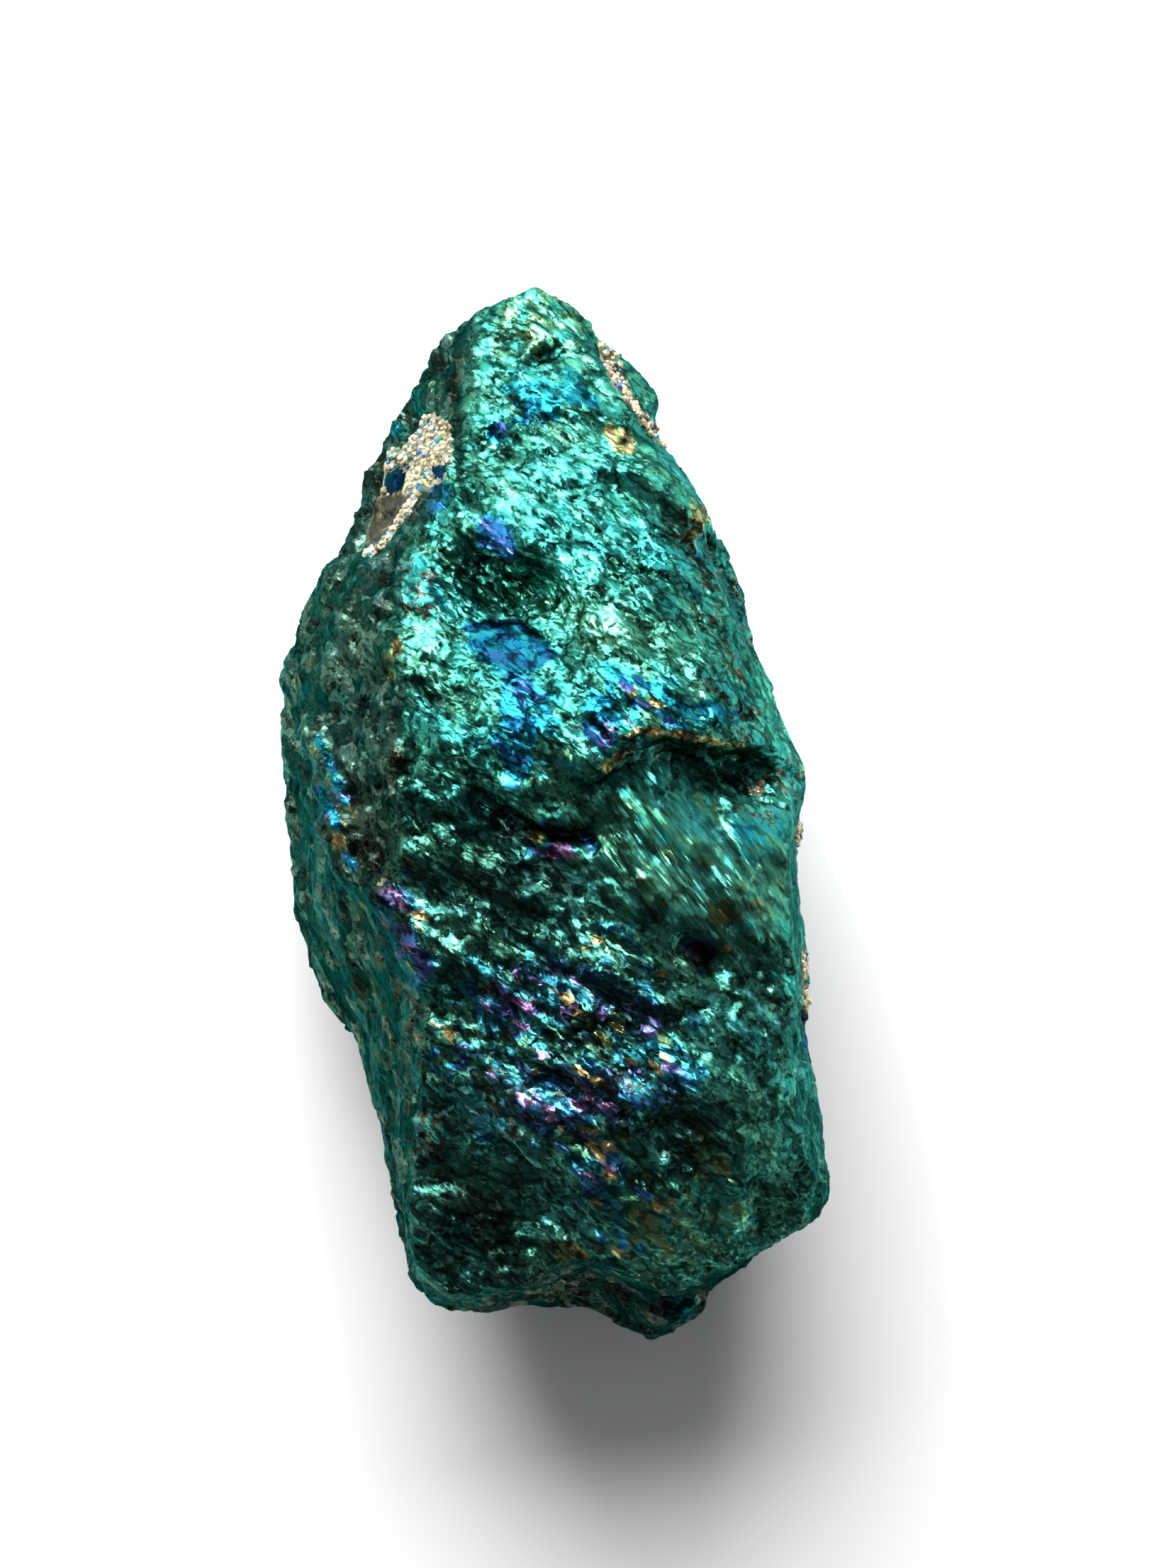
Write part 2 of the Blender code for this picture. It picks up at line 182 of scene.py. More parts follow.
# How far apart crystals are, how small and large, and how many are tried for each that fits.
GRAIN_SPACING = 0.26 * MM
GRAIN_SIZES = (0.10 * MM, 0.24 * MM)
GRAIN_TRIES = 4.0
GRAIN_SEED = 11
GRAIN_METAL = 0.45
GRAIN_ROUGHNESS = 0.22
GRAIN_COLOURS = [
    (0.00, (0.52, 0.46, 0.27)),
    (0.30, (0.45, 0.44, 0.36)),
    (0.55, (0.66, 0.58, 0.32)),
    (0.72, (0.30, 0.24, 0.13)),
    (0.84, (0.06, 0.26, 0.28)),
    (0.91, (0.04, 0.14, 0.32)),
    (0.96, (0.70, 0.66, 0.55)),
]

# From here on, places on the lump are in millimetres, across and along, as seen from above
# with the pointed end at the top. A patch is oval. Its strength would be PATCH_PEAK in the
# middle, falls by PATCH_FALL for each reach away from it, and is kept between 0 and 1.
PATCH_PEAK = 1.6
PATCH_FALL = 1.1
# The marks end between these two heights, just below the widest outline.
MARKS_END = (7.6, 8.8)

# The edge between the broad face and the left flank, which has painted shade, and the rim of the
# broken foot.
LEFT_RIDGE = [
    (-3.3, 26.0), (-3.6, 22.0), (-4.1, 18.0), (-5.2, 15.0), (-6.6, 12.0), (-7.5, 8.6), (-6.8, 4.0),
    (-6.6, 0.0), (-7.3, -3.6), (-6.6, -6.0), (-5.6, -8.2), (-6.0, -12.0), (-6.6, -16.0), (-6.6, -26.0),
]
FOOT_RIM = [
    (-9.0, -20.4), (-6.3, -21.4), (-4.1, -22.0), (-1.4, -21.6), (1.5, -19.9), (3.9, -21.2),
    (5.7, -21.7), (8.0, -20.8), (10.2, -19.7), (14.0, -17.6),
]
# How wide the change in painted shade is along each.
RIDGE_BLUR = 0.9
RIM_BLUR = 0.7

# Painted shade on the film: how light it is painted on the left flank, on the foot and on the half
# by the foot, as shares of the half by the pointed end, and where along the lump that half begins.
FLANK_SHARE = 0.22
FOOT_SHARE = 0.5
LOWER_SHARE = 0.62
POINTED_HALF = (-3.0, 4.0)
# The painted shade a steep place gets, how much more it gets near the foot, how far from the
# middle that is, how far up a place faces from steep to flat, and the deepest painted shade that the
# film gets.
STEEP_LOSS = 0.45
LOW_STEEP_LOSS = 0.25
LOW_START = (8.0, 14.0)
STEEP_FACING = (0.25, 0.75)
DEEPEST_PAINTED_SHADE = 0.85

# Painted shade in hollows: middle, reach, and how much light each takes.
PAINTED_SHADE_PATCHES = [
    ((-3.4, 5.4), (3.4, 2.2), 0.32),
    ((1.6, 5.4), (3.0, 1.8), 0.25),
    ((5.0, -22.8), (2.6, 1.6), 0.25),
    ((-7.2, 9.0), (0.40, 2.0), 0.50),
    ((-6.9, 4.6), (0.35, 1.6), 0.60),
    ((-4.5, 20.0), (0.35, 1.3), 0.85),
    ((-4.1, 16.2), (0.35, 1.2), 0.80),
    ((-3.5, 14.6), (0.8, 0.3), 0.80),
    ((0.4, 12.2), (1.6, 0.35), 0.50),
    ((-4.6, 3.0), (1.6, 3.0), 0.22),
    ((3.4, 17.3), (0.32, 0.24), 0.95),
    ((-2.4, 10.6), (2.2, 1.4), 0.15),
    ((7.8, 2.0), (2.4, 0.8), 0.75),
    ((-0.8, -0.6), (2.6, 0.5), 0.85),
    ((-6.8, 2.6), (0.4, 0.8), 0.9),
    ((4.8, 12.6), (2.6, 0.7), 0.45),
    ((6.8, -6.2), (0.9, 0.7), 0.8),
    ((-3.8, -18.6), (2.8, 2.2), 0.45),
    ((-2.6, -3.2), (3.0, 2.2), 0.50),
    ((-0.4, 21.3), (0.8, 0.3), 0.8),
]

# Painted light: middle, reach, and how much light each adds.
PAINTED_LIGHT_PATCHES = [
    ((4.8, 13.4), (2.4, 2.2), 0.75),
    ((0.7, 10.6), (1.0, 1.2), 2.2),
    ((5.0, -11.0), (1.9, 1.7), 0.9),
    ((6.4, -19.0), (3.6, 2.2), 0.9),
    ((10.4, 3.6), (1.7, 3.2), 0.7),
    ((11.2, -10.0), (1.3, 5.6), 0.7),
]

# Patches of film: middle, reach, the film there, and how strong it is.
FILM_PATCHES = [
    ((-2.6, 17.7), (0.5, 0.6), 0.70, 0.8),
    ((-0.1, 19.6), (1.8, 1.6), 0.60, 0.8),
    ((3.9, 5.1), (3.4, 1.6), 0.54, 0.6),
    ((-0.8, 4.6), (1.3, 1.3), 0.60, 0.6),
    ((2.3, 3.8), (0.7, 0.6), 0.78, 0.6),
    ((0.2, -1.4), (0.8, 0.5), 0.92, 0.9),
    ((-0.5, -0.9), (0.6, 0.4), 0.04, 1.0),
    ((-7.2, -4.5), (0.9, 1.6), 0.86, 0.7),
    ((-6.2, -6.6), (0.8, 1.2), 0.74, 0.7),
    ((-1.4, -8.0), (2.2, 1.3), 0.66, 0.7),
    ((4.8, -11.5), (1.7, 1.2), 0.60, 0.9),
    ((1.2, -12.7), (2.2, 1.4), 0.78, 0.7),
    ((2.4, -16.2), (1.6, 1.2), 0.72, 0.5),
    ((1.2, -19.8), (1.0, 0.8), 0.06, 0.6),
    ((6.1, -23.0), (1.2, 0.9), 0.58, 0.8),
    ((6.9, 13.9), (0.7, 1.0), 0.06, 0.7),
    ((0.5, -9.5), (5.5, 5.0), 0.53, 0.6),
    ((-1.5, 4.0), (0.8, 3.0), 0.63, 0.9),
    ((-8.4, -9.0), (1.5, 4.6), 0.09, 0.55),
    ((-11.6, 6.0), (1.2, 4.0), 0.12, 0.40),
    ((-5.3, 14.8), (0.8, 0.7), 0.64, 0.9),
    ((7.2, 4.6), (1.6, 0.6), 0.62, 0.8),
    ((-7.2, 7.5), (0.5, 2.4), 0.10, 0.5),
    ((-0.4, 22.6), (2.8, 2.8), 0.31, 0.8),
    ((7.1, -14.9), (1.3, 1.6), 0.20, 0.6),
    ((6.4, -18.6), (3.6, 2.0), 0.27, 0.6),
    ((6.6, -1.6), (0.9, 0.7), 0.30, 0.8),
]
# How strong a flat place is among them, the least sum of strengths to divide by, and the
# most that shows.
PLANE_PATCH = 4.0
LEAST_PATCH = 0.001
MOST_PATCH = 3.0

# Flat places with a sharp edge: outline, film, how wrinkled, and the painted light (above 1) or
# painted shade (below 1) each has.
PLANES = {
    "blue flat": (
        [(-3.9, 8.7), (-2.9, 9.1), (-1.2, 8.9), (-0.2, 8.2), (0.3, 7.3), (-0.6, 6.7),
         (-1.9, 6.5), (-3.0, 7.0), (-3.7, 7.8)],
        0.63, 0.3, 0.16),
    "violet flat": (
        [(-2.8, 13.9), (-1.8, 13.1), (-1.4, 12.0), (-2.0, 11.7), (-2.7, 12.2), (-3.4, 12.4),
         (-3.2, 13.1), (-3.5, 13.5)],
        0.74, 0.25, 1.8),
    "emerald facet": (
        [(6.4, -1.0), (7.7, -1.1), (7.9, -1.9), (6.9, -2.2), (6.2, -1.8)],
        0.33, 0.3, 0.5),
    "gold oval": (
        [(2.4, 18.0), (2.7, 18.1), (3.2, 17.9), (3.9, 17.5), (3.9, 16.8), (3.7, 16.6),
         (3.2, 16.6), (2.7, 17.2), (2.4, 17.7)],
        0.05, 0.9, 1.8),
    "gold lip of the ledge": (
        [(3.5, 4.0), (4.2, 4.2), (6.1, 3.9), (8.8, 3.4), (8.8, 3.1), (6.1, 3.5), (4.2, 3.8),
         (3.5, 3.6)],
        0.05, 1.0, 1.8),
    "gold beside the ledge": (
        [(2.2, 2.4), (2.9, 2.9), (3.4, 3.3), (3.3, 2.5), (2.6, 2.0)],
        0.06, 1.0, 1.6),
    "long cyan streak on the flank": (
        [(-11.1, 3.9), (-10.6, 3.9), (-9.6, 2.0), (-9.1, 0.6), (-9.6, 0.7), (-10.3, 2.2)],
        0.57, 1.0, 3.6),
    "short cyan streak on the flank": (
        [(-10.9, 1.6), (-10.5, 1.6), (-9.7, 0.2), (-9.5, -0.6), (-9.9, -0.5), (-10.5, 0.4)],
        0.59, 1.0, 3.0),
    "gold spot on the flank": (
        [(-10.1, -0.8), (-9.7, -0.6), (-9.3, -1.0), (-9.5, -1.6), (-10.0, -1.4)],
        0.05, 0.8, 3.2),
    "blue spot on the flank": (
        [(-9.6, -1.7), (-9.2, -1.5), (-8.7, -2.1), (-9.0, -2.6)],
        0.68, 0.8, 3.6),
    "gold grain in the crack": (
        [(-0.8, -0.7), (-0.2, -0.6), (0.1, -1.1), (-0.4, -1.4)],
        0.04, 0.8, 3.0),
    "violet grain in the crack": (
        [(0.1, -1.0), (0.6, -1.0), (1.2, -1.8), (0.5, -1.8)],
        0.92, 0.8, 2.0),
    "cyan facet of the tooth": (
        [(5.5, -22.5), (6.4, -22.3), (6.9, -23.0), (6.4, -23.7), (5.7, -23.4)],
        0.52, 0.6, 6.0),
    "large blue grain in the pocket": (
        [(-7.9, 15.6), (-7.8, 16.3), (-7.3, 16.4), (-6.8, 16.3), (-6.7, 15.7), (-7.1, 15.3),
         (-7.6, 15.2)],
        0.74, 0.6, 0.75),
    "small blue grain in the pocket": (
        [(-5.5, 16.2), (-5.1, 16.3), (-4.7, 16.1), (-4.9, 15.7), (-5.3, 15.6)],
        0.76, 0.6, 0.5),
    "long striated facet": (
        [(2.7, 1.0), (3.6, 1.1), (5.1, 0.4), (6.0, -0.6), (6.6, -1.5), (6.3, -2.2), (5.4, -1.9),
         (4.5, -1.0), (3.5, -0.1)],
        0.33, 0.25, 1.15),
    "striated facet under the ledge": (
        [(6.2, 1.4), (6.8, 1.4), (7.6, 0.6), (8.2, -0.2), (7.8, -0.4), (7.1, 0.3), (6.4, 1.0)],
        0.35, 0.25, 1.0),
    "teal facet by the right side": (
        [(8.5, 0.6), (9.9, 0.5), (10.8, -0.2), (10.6, -1.5), (9.0, -2.0), (8.3, -1.7),
         (8.2, -0.4)],
        0.43, 0.4, 1.15),
    "left striated facet": (
        [(2.0, -0.5), (2.4, -0.6), (2.7, -1.5), (3.4, -2.4), (3.5, -2.8), (2.7, -2.2),
         (2.3, -1.5)],
        0.38, 0.25, 1.5),
    "short striated facet": (
        [(3.0, -3.8), (3.7, -3.6), (4.4, -4.9), (3.9, -5.0), (3.2, -4.5)],
        0.38, 0.25, 1.5),
    "right striated facet": (
        [(8.5, -2.7), (9.4, -3.2), (11.1, -4.9), (11.0, -5.6), (10.4, -5.4), (9.6, -4.2),
         (8.7, -3.3)],
        0.36, 0.25, 1.6),
    "narrow striated facet": (
        [(8.7, -4.5), (9.2, -4.7), (9.7, -5.6), (9.5, -5.8), (9.0, -5.2)],
        0.45, 0.25, 2.0),
    "low teal facet": (
        [(9.9, -7.3), (10.6, -7.0), (11.1, -7.3), (11.3, -8.0), (10.4, -8.2)],
        0.45, 0.4, 2.2),
    "long olive facet": (
        [(3.8, -2.7), (4.6, -2.6), (5.4, -4.2), (4.9, -4.8), (4.1, -3.8)],
        0.27, 0.5, 0.4),
    "broad olive facet": (
        [(6.9, -3.7), (8.2, -3.6), (8.7, -4.3), (8.0, -4.9), (7.1, -4.6)],
        0.24, 0.5, 0.35),
    "dark violet grain": (
        [(6.1, -5.6), (6.8, -5.6), (7.6, -6.2), (7.1, -6.5), (6.3, -6.1)],
        0.95, 0.5, 0.25),
    "cyan facet beside the lobe": (
        [(-6.8, 20.4), (-6.3, 20.4), (-6.0, 19.0), (-6.5, 18.7)],
        0.5, 0.7, 3.0),
    "cyan facet above the pocket": (
        [(-7.8, 18.4), (-7.2, 18.9), (-6.7, 18.2), (-7.3, 17.8)],
        0.52, 0.7, 2.0),
}

# Calm places: middle, reach, and how much of the wrinkling is gone.
CALM = [
    ((5.8, -1.6), (3.2, 2.6), 0.60),
    ((7.6, -4.4), (2.6, 2.2), 0.50),
    ((6.2, -19.2), (3.8, 2.0), 0.55),
    ((9.4, -15.0), (2.2, 2.6), 0.45),
    ((12.0, 2.0), (1.6, 5.0), 0.45),
    ((-10.0, -9.0), (3.0, 7.0), 0.35),
]

# Where the creases are stained brown: middle, reach, and how strongly.
STAINED = [
    ((8.6, 8.4), (2.2, 5.2), 1.0),
    ((10.6, 2.0), (1.8, 3.4), 0.8),
    ((-6.4, 10.0), (1.4, 4.0), 0.8),
    ((6.8, 13.4), (1.2, 2.0), 1.0),
    ((-6.0, -15.0), (1.2, 4.0), 1.0),
    ((11.0, -5.0), (1.4, 5.0), 0.6),
    ((0.6, -12.0), (4.4, 5.0), 0.6),
    ((2.0, -21.0), (6.0, 1.6), 0.6),
    ((4.6, 3.6), (3.4, 0.9), 0.8),
]

# Places broken into coarse shards: middle, reach, and how strongly.
SHATTERED = [
    ((-2.2, 10.9), (2.6, 1.6), 1.0),
    ((1.0, 10.8), (1.4, 2.2), 1.0),
    ((4.4, 11.6), (2.4, 1.0), 0.7),
    ((-7.6, 20.0), (1.6, 2.4), 0.7),
    ((0.6, -10.0), (4.6, 4.0), 0.35),
    ((7.0, -20.6), (3.0, 1.4), 0.3),
]

# Places whose facets lean towards the pointed end, or away from it where negative: middle,
# reach, and how strongly. A whole lean is this far along and up.
LEANING = [
    ((-2.4, 12.7), (1.3, 1.5), 0.9),
    ((1.1, 10.6), (1.3, 1.9), 0.7),
    ((3.4, -0.1), (2.0, 2.2), -0.28),
    ((8.2, -0.5), (1.2, 1.4), -0.35),
]
LEAN = (0.0, 0.60, 0.30)

# Striated places: middle, reach, and how strongly.
STRIATED = [
    ((4.6, -1.2), (3.4, 3.0), 1.0),
    ((8.4, -3.4), (3.4, 3.2), 1.0),
    ((4.4, 1.6), (1.6, 1.6), 0.7),
]

# Where small blue, violet and gold spots are scattered: middle, reach, and how thickly.
SPOTTED = [
    ((0.4, -10.6), (6.0, 5.5), 0.75),
    ((-6.8, -5.2), (1.8, 3.4), 0.80),
    ((-10.2, 1.0), (1.6, 3.6), 0.60),
    ((1.4, 4.6), (5.0, 3.2), 0.45),
    ((2.4, -18.0), (3.6, 2.6), 0.60),
    ((-5.6, -14.0), (1.6, 4.6), 0.50),
    ((7.2, 13.0), (1.6, 3.6), 0.55),
    ((0.2, -1.0), (2.0, 1.0), 0.90),
    ((6.4, -6.4), (3.0, 1.6), 0.50),
]

# Patches of rock that the ore grew in: outline, and tone as in ROCK_TONES.
ROCK = {
    "pocket": (
        [(-5.6, 19.0), (-4.7, 18.3), (-4.5, 16.8), (-4.9, 15.5), (-6.0, 15.0), (-6.9, 15.0),
         (-8.1, 15.2), (-7.9, 16.3), (-7.8, 17.4), (-7.1, 17.5), (-6.4, 18.1), (-6.0, 18.8)],
        0.5),
    "brown rock under the pocket": (
        [(-8.1, 15.2), (-6.9, 15.1), (-6.3, 14.8), (-7.0, 13.9), (-7.8, 13.0), (-8.5, 12.5),
         (-8.7, 13.4), (-8.4, 14.7)],
        1.0),
    "white vein": (
        [(-5.9, 15.3), (-6.3, 15.3), (-7.0, 14.1), (-7.9, 12.9), (-8.8, 12.6), (-8.9, 12.3),
         (-8.4, 12.1), (-7.6, 12.7), (-6.7, 13.9), (-6.1, 14.7)],
        0.0),
    "band at the upper right": (
        [(2.3, 22.6), (3.0, 22.0), (3.6, 20.6), (4.2, 19.4), (5.1, 18.6), (5.6, 17.3),
         (5.1, 17.6), (4.2, 18.5), (3.3, 19.4), (2.7, 20.4), (2.4, 21.5), (2.1, 22.1)],
        0.75),
    "grey grain under the ledge": (
        [(9.0, 1.6), (9.8, 1.7), (10.0, 1.2), (9.3, 1.0)],
        0.6),
}

# A patch of rock gives its tone where it is stronger than this.
TONE_FROM = 0.5
SIDE_TONE_FROM = 0.1

# Rock and film on the steep right side, past this far across: where along and how high, the
# reach, and the tone or the film there.
SIDE_FROM = 10.8
SIDE_ROCK = [
    ((-0.8, 11.6), (0.75, 1.3), 0.1),
    ((-7.0, 11.0), (0.85, 1.7), 0.6),
    ((-8.6, 10.2), (0.70, 1.3), 0.1),
]
SIDE_FILM = [
    ((-10.6, 10.4), (1.2, 2.0), 0.82),
]


def set_camera():
    """A long lens straight above the lump, with the pointed end at the top."""
    camera = bpy.data.cameras.new("camera")
    camera.sensor_width = SENSOR
    camera.lens = SENSOR * CAMERA_DISTANCE / PICTURE_SPAN
    camera.clip_start = NEAREST_SEEN
    holder = bpy.data.objects.new("camera", camera)
    holder.location = (*PICTURE_MIDDLE, GIRDLE_HEIGHT + CAMERA_DISTANCE)
    bpy.context.scene.collection.objects.link(holder)
    bpy.context.scene.camera = holder


def add_light(name, place, width, power):
    """A square soft light that faces the lump."""
    light = bpy.data.lights.new(name, "AREA")
    light.size = width
    light.energy = power
    holder = bpy.data.objects.new(name, light)
    holder.location = place
    towards = Vector((0.0, 0.0, GIRDLE_HEIGHT)) - Vector(place)
    holder.rotation_euler = towards.to_track_quat("-Z", "Y").to_euler()
    bpy.context.scene.collection.objects.link(holder)


def set_lights():
    """A broad light from beyond the pointed end, a weak one from the left, and a dim room."""
    add_light("window_light", *WINDOW_LIGHT)
    add_light("side_light", *SIDE_LIGHT)
    world = bpy.data.worlds.new("room")
    world.use_nodes = True
    tree = Tree(world.node_tree)
    room = world.node_tree.nodes["Background"]
    room.inputs["Color"].default_value = (*ROOM_COLOUR, 1.0)
    direction = tree.add("ShaderNodeSeparateXYZ")
    tree.join(tree.add("ShaderNodeTexCoord").outputs["Generated"], direction.inputs[0])
    strength = tree.between(direction.outputs["Y"], *ROOM_CHANGE, *ROOM_LIGHT)
    tree.join(strength, room.inputs["Strength"])
    bpy.context.scene.world = world
    bpy.context.scene.view_settings.view_transform = "Standard"


def add_floor():
    """A pale floor that the lump lies on."""
    bpy.ops.mesh.primitive_plane_add(size=FLOOR_WIDTH)
    floor = bpy.context.object
    floor.name = "floor"
    material = bpy.data.materials.new("pale_floor")
    material.use_nodes = True
    shader = material.node_tree.nodes["Principled BSDF"]
    shader.inputs["Base Color"].default_value = (FLOOR_GREY, FLOOR_GREY, FLOOR_GREY, 1.0)
    shader.inputs["Roughness"].default_value = FLOOR_ROUGHNESS
    floor.data.materials.append(material)


class Tree:
    """A node tree with short ways to add a node, join two sockets and do sums."""

    def __init__(self, tree):
        self.tree = tree

    def add(self, kind, **settings):
        made = self.tree.nodes.new(kind)
        for name, value in settings.items():
            setattr(made, name, value)
        return made

    def join(self, source, target):
        """Links one socket to another, or sets the socket to a plain value."""
        if isinstance(source, bpy.types.NodeSocket):
            self.tree.links.new(source, target)
        else:
            target.default_value = source

    def sum(self, operation, *values, clamp=False):
        made = self.add("ShaderNodeMath", operation=operation, use_clamp=clamp)
        for value, socket in zip(values, made.inputs):
            self.join(value, socket)
        return made.outputs[0]

    def vector(self, operation, *values):
        made = self.add("ShaderNodeVectorMath", operation=operation)
        sockets = [s for s in made.inputs if s.enabled]
        for value, socket in zip(values, sockets):
            self.join(value, socket)
        return made.outputs["Value"] if operation == "DOT_PRODUCT" else made.outputs["Vector"]

    def centred(self, value):
        """A number from 0 to 1, moved to lie evenly about nought."""
        return self.sum("SUBTRACT", value, 0.5)

    def centred_colour(self, colour):
        """The same for the three numbers of a colour."""
        return self.vector("SUBTRACT", colour, (0.5, 0.5, 0.5))

    def noise(self, place, scale, detail, output="Fac"):
        """Soft random waves, in number or in colour, with so many to one unit of place."""
        made = self.add("ShaderNodeTexNoise")
        self.join(place, made.inputs["Vector"])
        made.inputs["Scale"].default_value = scale
        made.inputs["Detail"].default_value = detail
        return made.outputs[output]

    def lines(self, place, spacing, detail):
        """How far each place is from the nearest of many wandering lines."""
        return self.sum("ABSOLUTE", self.centred(self.noise(place, 1.0 / spacing, detail)))

    def cells(self, place, **settings):
        """Random cells about one unit wide."""
        made = self.add("ShaderNodeTexVoronoi", **settings)
        self.join(place, made.inputs["Vector"])
        made.inputs["Scale"].default_value = 1.0
        return made

    def turn(self, place, angle):
        made = self.add("ShaderNodeVectorRotate", rotation_type="Z_AXIS")
        self.join(place, made.inputs["Vector"])
        self.join(angle, made.inputs["Angle"])
        return made.outputs[0]

    def height(self, vector):
        made = self.add("ShaderNodeSeparateXYZ")
        self.join(vector, made.inputs[0])
        return made.outputs["Z"]

    def ramp(self, value, stops, interpolation="LINEAR"):
        made = self.add("ShaderNodeValToRGB")
        made.color_ramp.interpolation = interpolation
        points = made.color_ramp.elements
        while len(points) < len(stops):
            points.new(0.5)
        for point, (place, colour) in zip(points, stops):
            point.position = place
            point.color = (*colour, 1.0)
        self.join(value, made.inputs["Fac"])
        return made.outputs["Color"]

    def grey(self, value):
        made = self.add("ShaderNodeCombineXYZ")
        for socket in made.inputs:
            self.join(value, socket)
        return made.outputs[0]

    def parts(self, colour):
        made = self.add("ShaderNodeSeparateColor")
        self.join(colour, made.inputs[0])
        return list(made.outputs)

    def mix_vectors(self, share, first, second):
        made = self.add("ShaderNodeMix", data_type="VECTOR")
        self.join(share, made.inputs["Factor"])
        sockets = [s for s in made.inputs if s.enabled and s.name in ("A", "B")]
        self.join(first, sockets[0])
        self.join(second, sockets[1])
        return next(s for s in made.outputs if s.enabled)

    def blend(self, share, first, second):
        made = self.add("ShaderNodeMix", data_type="RGBA")
        self.join(share, made.inputs["Factor"])
        self.join(first, made.inputs["A"])
        self.join(second, made.inputs["B"])
        return made.outputs["Result"]

    def between(self, value, low, high, new_low=0.0, new_high=1.0):
        """Changes softly from one new value to the other as the value goes from low to high."""
        made = self.add("ShaderNodeMapRange", interpolation_type="SMOOTHSTEP")
        for source, socket in zip((value, low, high, new_low, new_high), made.inputs):
            self.join(source, socket)
        return made.outputs["Result"]

    def marked(self, name):
        """What the mesh keeps under a name, in a material."""
        return self.add("ShaderNodeAttribute", attribute_name=name).outputs["Fac"]

    def kept(self, name):
        """What the mesh keeps under a name, in geometry nodes."""
        made = self.add("GeometryNodeInputNamedAttribute", data_type="FLOAT")
        made.inputs["Name"].default_value = name
        return made.outputs["Attribute"]

    def keep(self, geometry, name, value):
        """Keeps a value for each point under a name."""
        made = self.add("GeometryNodeStoreNamedAttribute", data_type="FLOAT", domain="POINT")
        self.join(geometry, made.inputs["Geometry"])
        made.inputs["Name"].default_value = name
        self.join(value, made.inputs["Value"])
        return made.outputs[0]

    def end(self, geometry, material):
        """Ends geometry nodes with real faces, all in one material."""
        whole = self.add("GeometryNodeRealizeInstances")
        self.join(geometry, whole.inputs[0])
        dress = self.add("GeometryNodeSetMaterial")
        dress.inputs["Material"].default_value = bpy.data.materials[material]
        self.join(whole.outputs[0], dress.inputs["Geometry"])
        self.join(dress.outputs[0], self.add("NodeGroupOutput").inputs[0])


def mesh_changer(name, inputs):
    """Geometry nodes that are still empty, with a named input for each of their sizes."""
    group = bpy.data.node_groups.new(name, "GeometryNodeTree")
    face = group.interface
    face.new_socket("Geometry", in_out="INPUT", socket_type="NodeSocketGeometry")
    for label, default in inputs.items():
        kind = "NodeSocketInt" if isinstance(default, int) else "NodeSocketFloat"
        made = face.new_socket(label, in_out="INPUT", socket_type=kind)
        made.default_value = default
    face.new_socket("Geometry", in_out="OUTPUT", socket_type="NodeSocketGeometry")
    return group


def chip_height(tree, along, rows, start):
    """The height, in metres, of a surface broken into flat tilted chips of several sizes."""
    height = 0.0
    for row, (width, depth, wander) in enumerate(rows):
        cell = tree.vector("MULTIPLY", along, (1.0 / width,) * 3)
        cell = tree.vector("ADD", cell, ((row + 1.0) * start,) * 3)
        drift = tree.centred_colour(tree.noise(cell, EDGE_WAVES, 2.0, "Color"))
        cell = tree.vector("ADD", cell, tree.vector("MULTIPLY", drift, (2.0 * wander,) * 3))
        found = tree.cells(cell)
        tilt = tree.centred_colour(found.outputs["Color"])
        offset = tree.vector("SUBTRACT", cell, found.outputs["Position"])
        lift = tree.sum("MULTIPLY", tree.vector("DOT_PRODUCT", tilt, offset), CHIP_TILT)
        crown = tree.cells(cell, feature="DISTANCE_TO_EDGE").outputs["Distance"]
        lift = tree.sum("SUBTRACT", tree.sum("ADD", lift, crown), CHIP_MEAN)
        height = tree.sum("MULTIPLY_ADD", lift, depth, height)
    return height


def skin_tree():
    """Geometry nodes that crinkle a mesh: tilted chips in several sizes, and sharp folds."""
    group = mesh_changer("crinkled_skin", {
        "Depth": 1.0,
        "Grain Stretch": GRAIN_STRETCH,
        "Grain Angle": GRAIN_ANGLE,
        "Resting Guard": RESTING_GUARD,
    })
    tree = Tree(group)
    given = tree.add("NodeGroupInput").outputs
    place = tree.add("GeometryNodeInputPosition").outputs[0]
    squeeze = tree.add("ShaderNodeCombineXYZ")
    tree.join(tree.sum("DIVIDE", 1.0, given["Grain Stretch"]), squeeze.inputs["X"])
    squeeze.inputs["Y"].default_value = 1.0
    squeeze.inputs["Z"].default_value = 1.0
    along = tree.vector("MULTIPLY", tree.turn(place, given["Grain Angle"]), squeeze.outputs[0])

    height = chip_height(tree, along, CHIPS, CHIPS_START)
    shards = chip_height(tree, along, SHARDS, SHARDS_START)
    height = tree.sum("MULTIPLY_ADD", shards, tree.kept("shattered"), height)
    fold = tree.lines(along, FOLD_WIDTH, 3.0)
    height = tree.sum("MULTIPLY_ADD", fold, -FOLD_STEEPNESS * FOLD_DEPTH, height)

    normal = tree.add("GeometryNodeInputNormal").outputs[0]
    facing = tree.sum("ABSOLUTE", tree.height(normal))
    guard = tree.between(tree.height(place), 0.0, given["Resting Guard"])
    calm = tree.between(facing, 0.0, WALL_FACING, WALL_DEPTH, 1.0)
    guard = tree.sum("MULTIPLY", tree.sum("MULTIPLY", guard, calm), tree.kept("wrinkled"))
    height = tree.sum("MULTIPLY", tree.sum("MULTIPLY", height, guard), given["Depth"])
    offset = tree.add("ShaderNodeVectorMath", operation="SCALE")
    tree.join(normal, offset.inputs[0])
    tree.join(height, offset.inputs["Scale"])
    move = tree.add("GeometryNodeSetPosition")
    tree.join(given["Geometry"], move.inputs["Geometry"])
    tree.join(offset.outputs[0], move.inputs["Offset"])
    lift = tree.sum("DIVIDE", height, CHIPS[0][1])
    tree.end(tree.keep(move.outputs[0], "lift", lift), "ore_film")
    return group


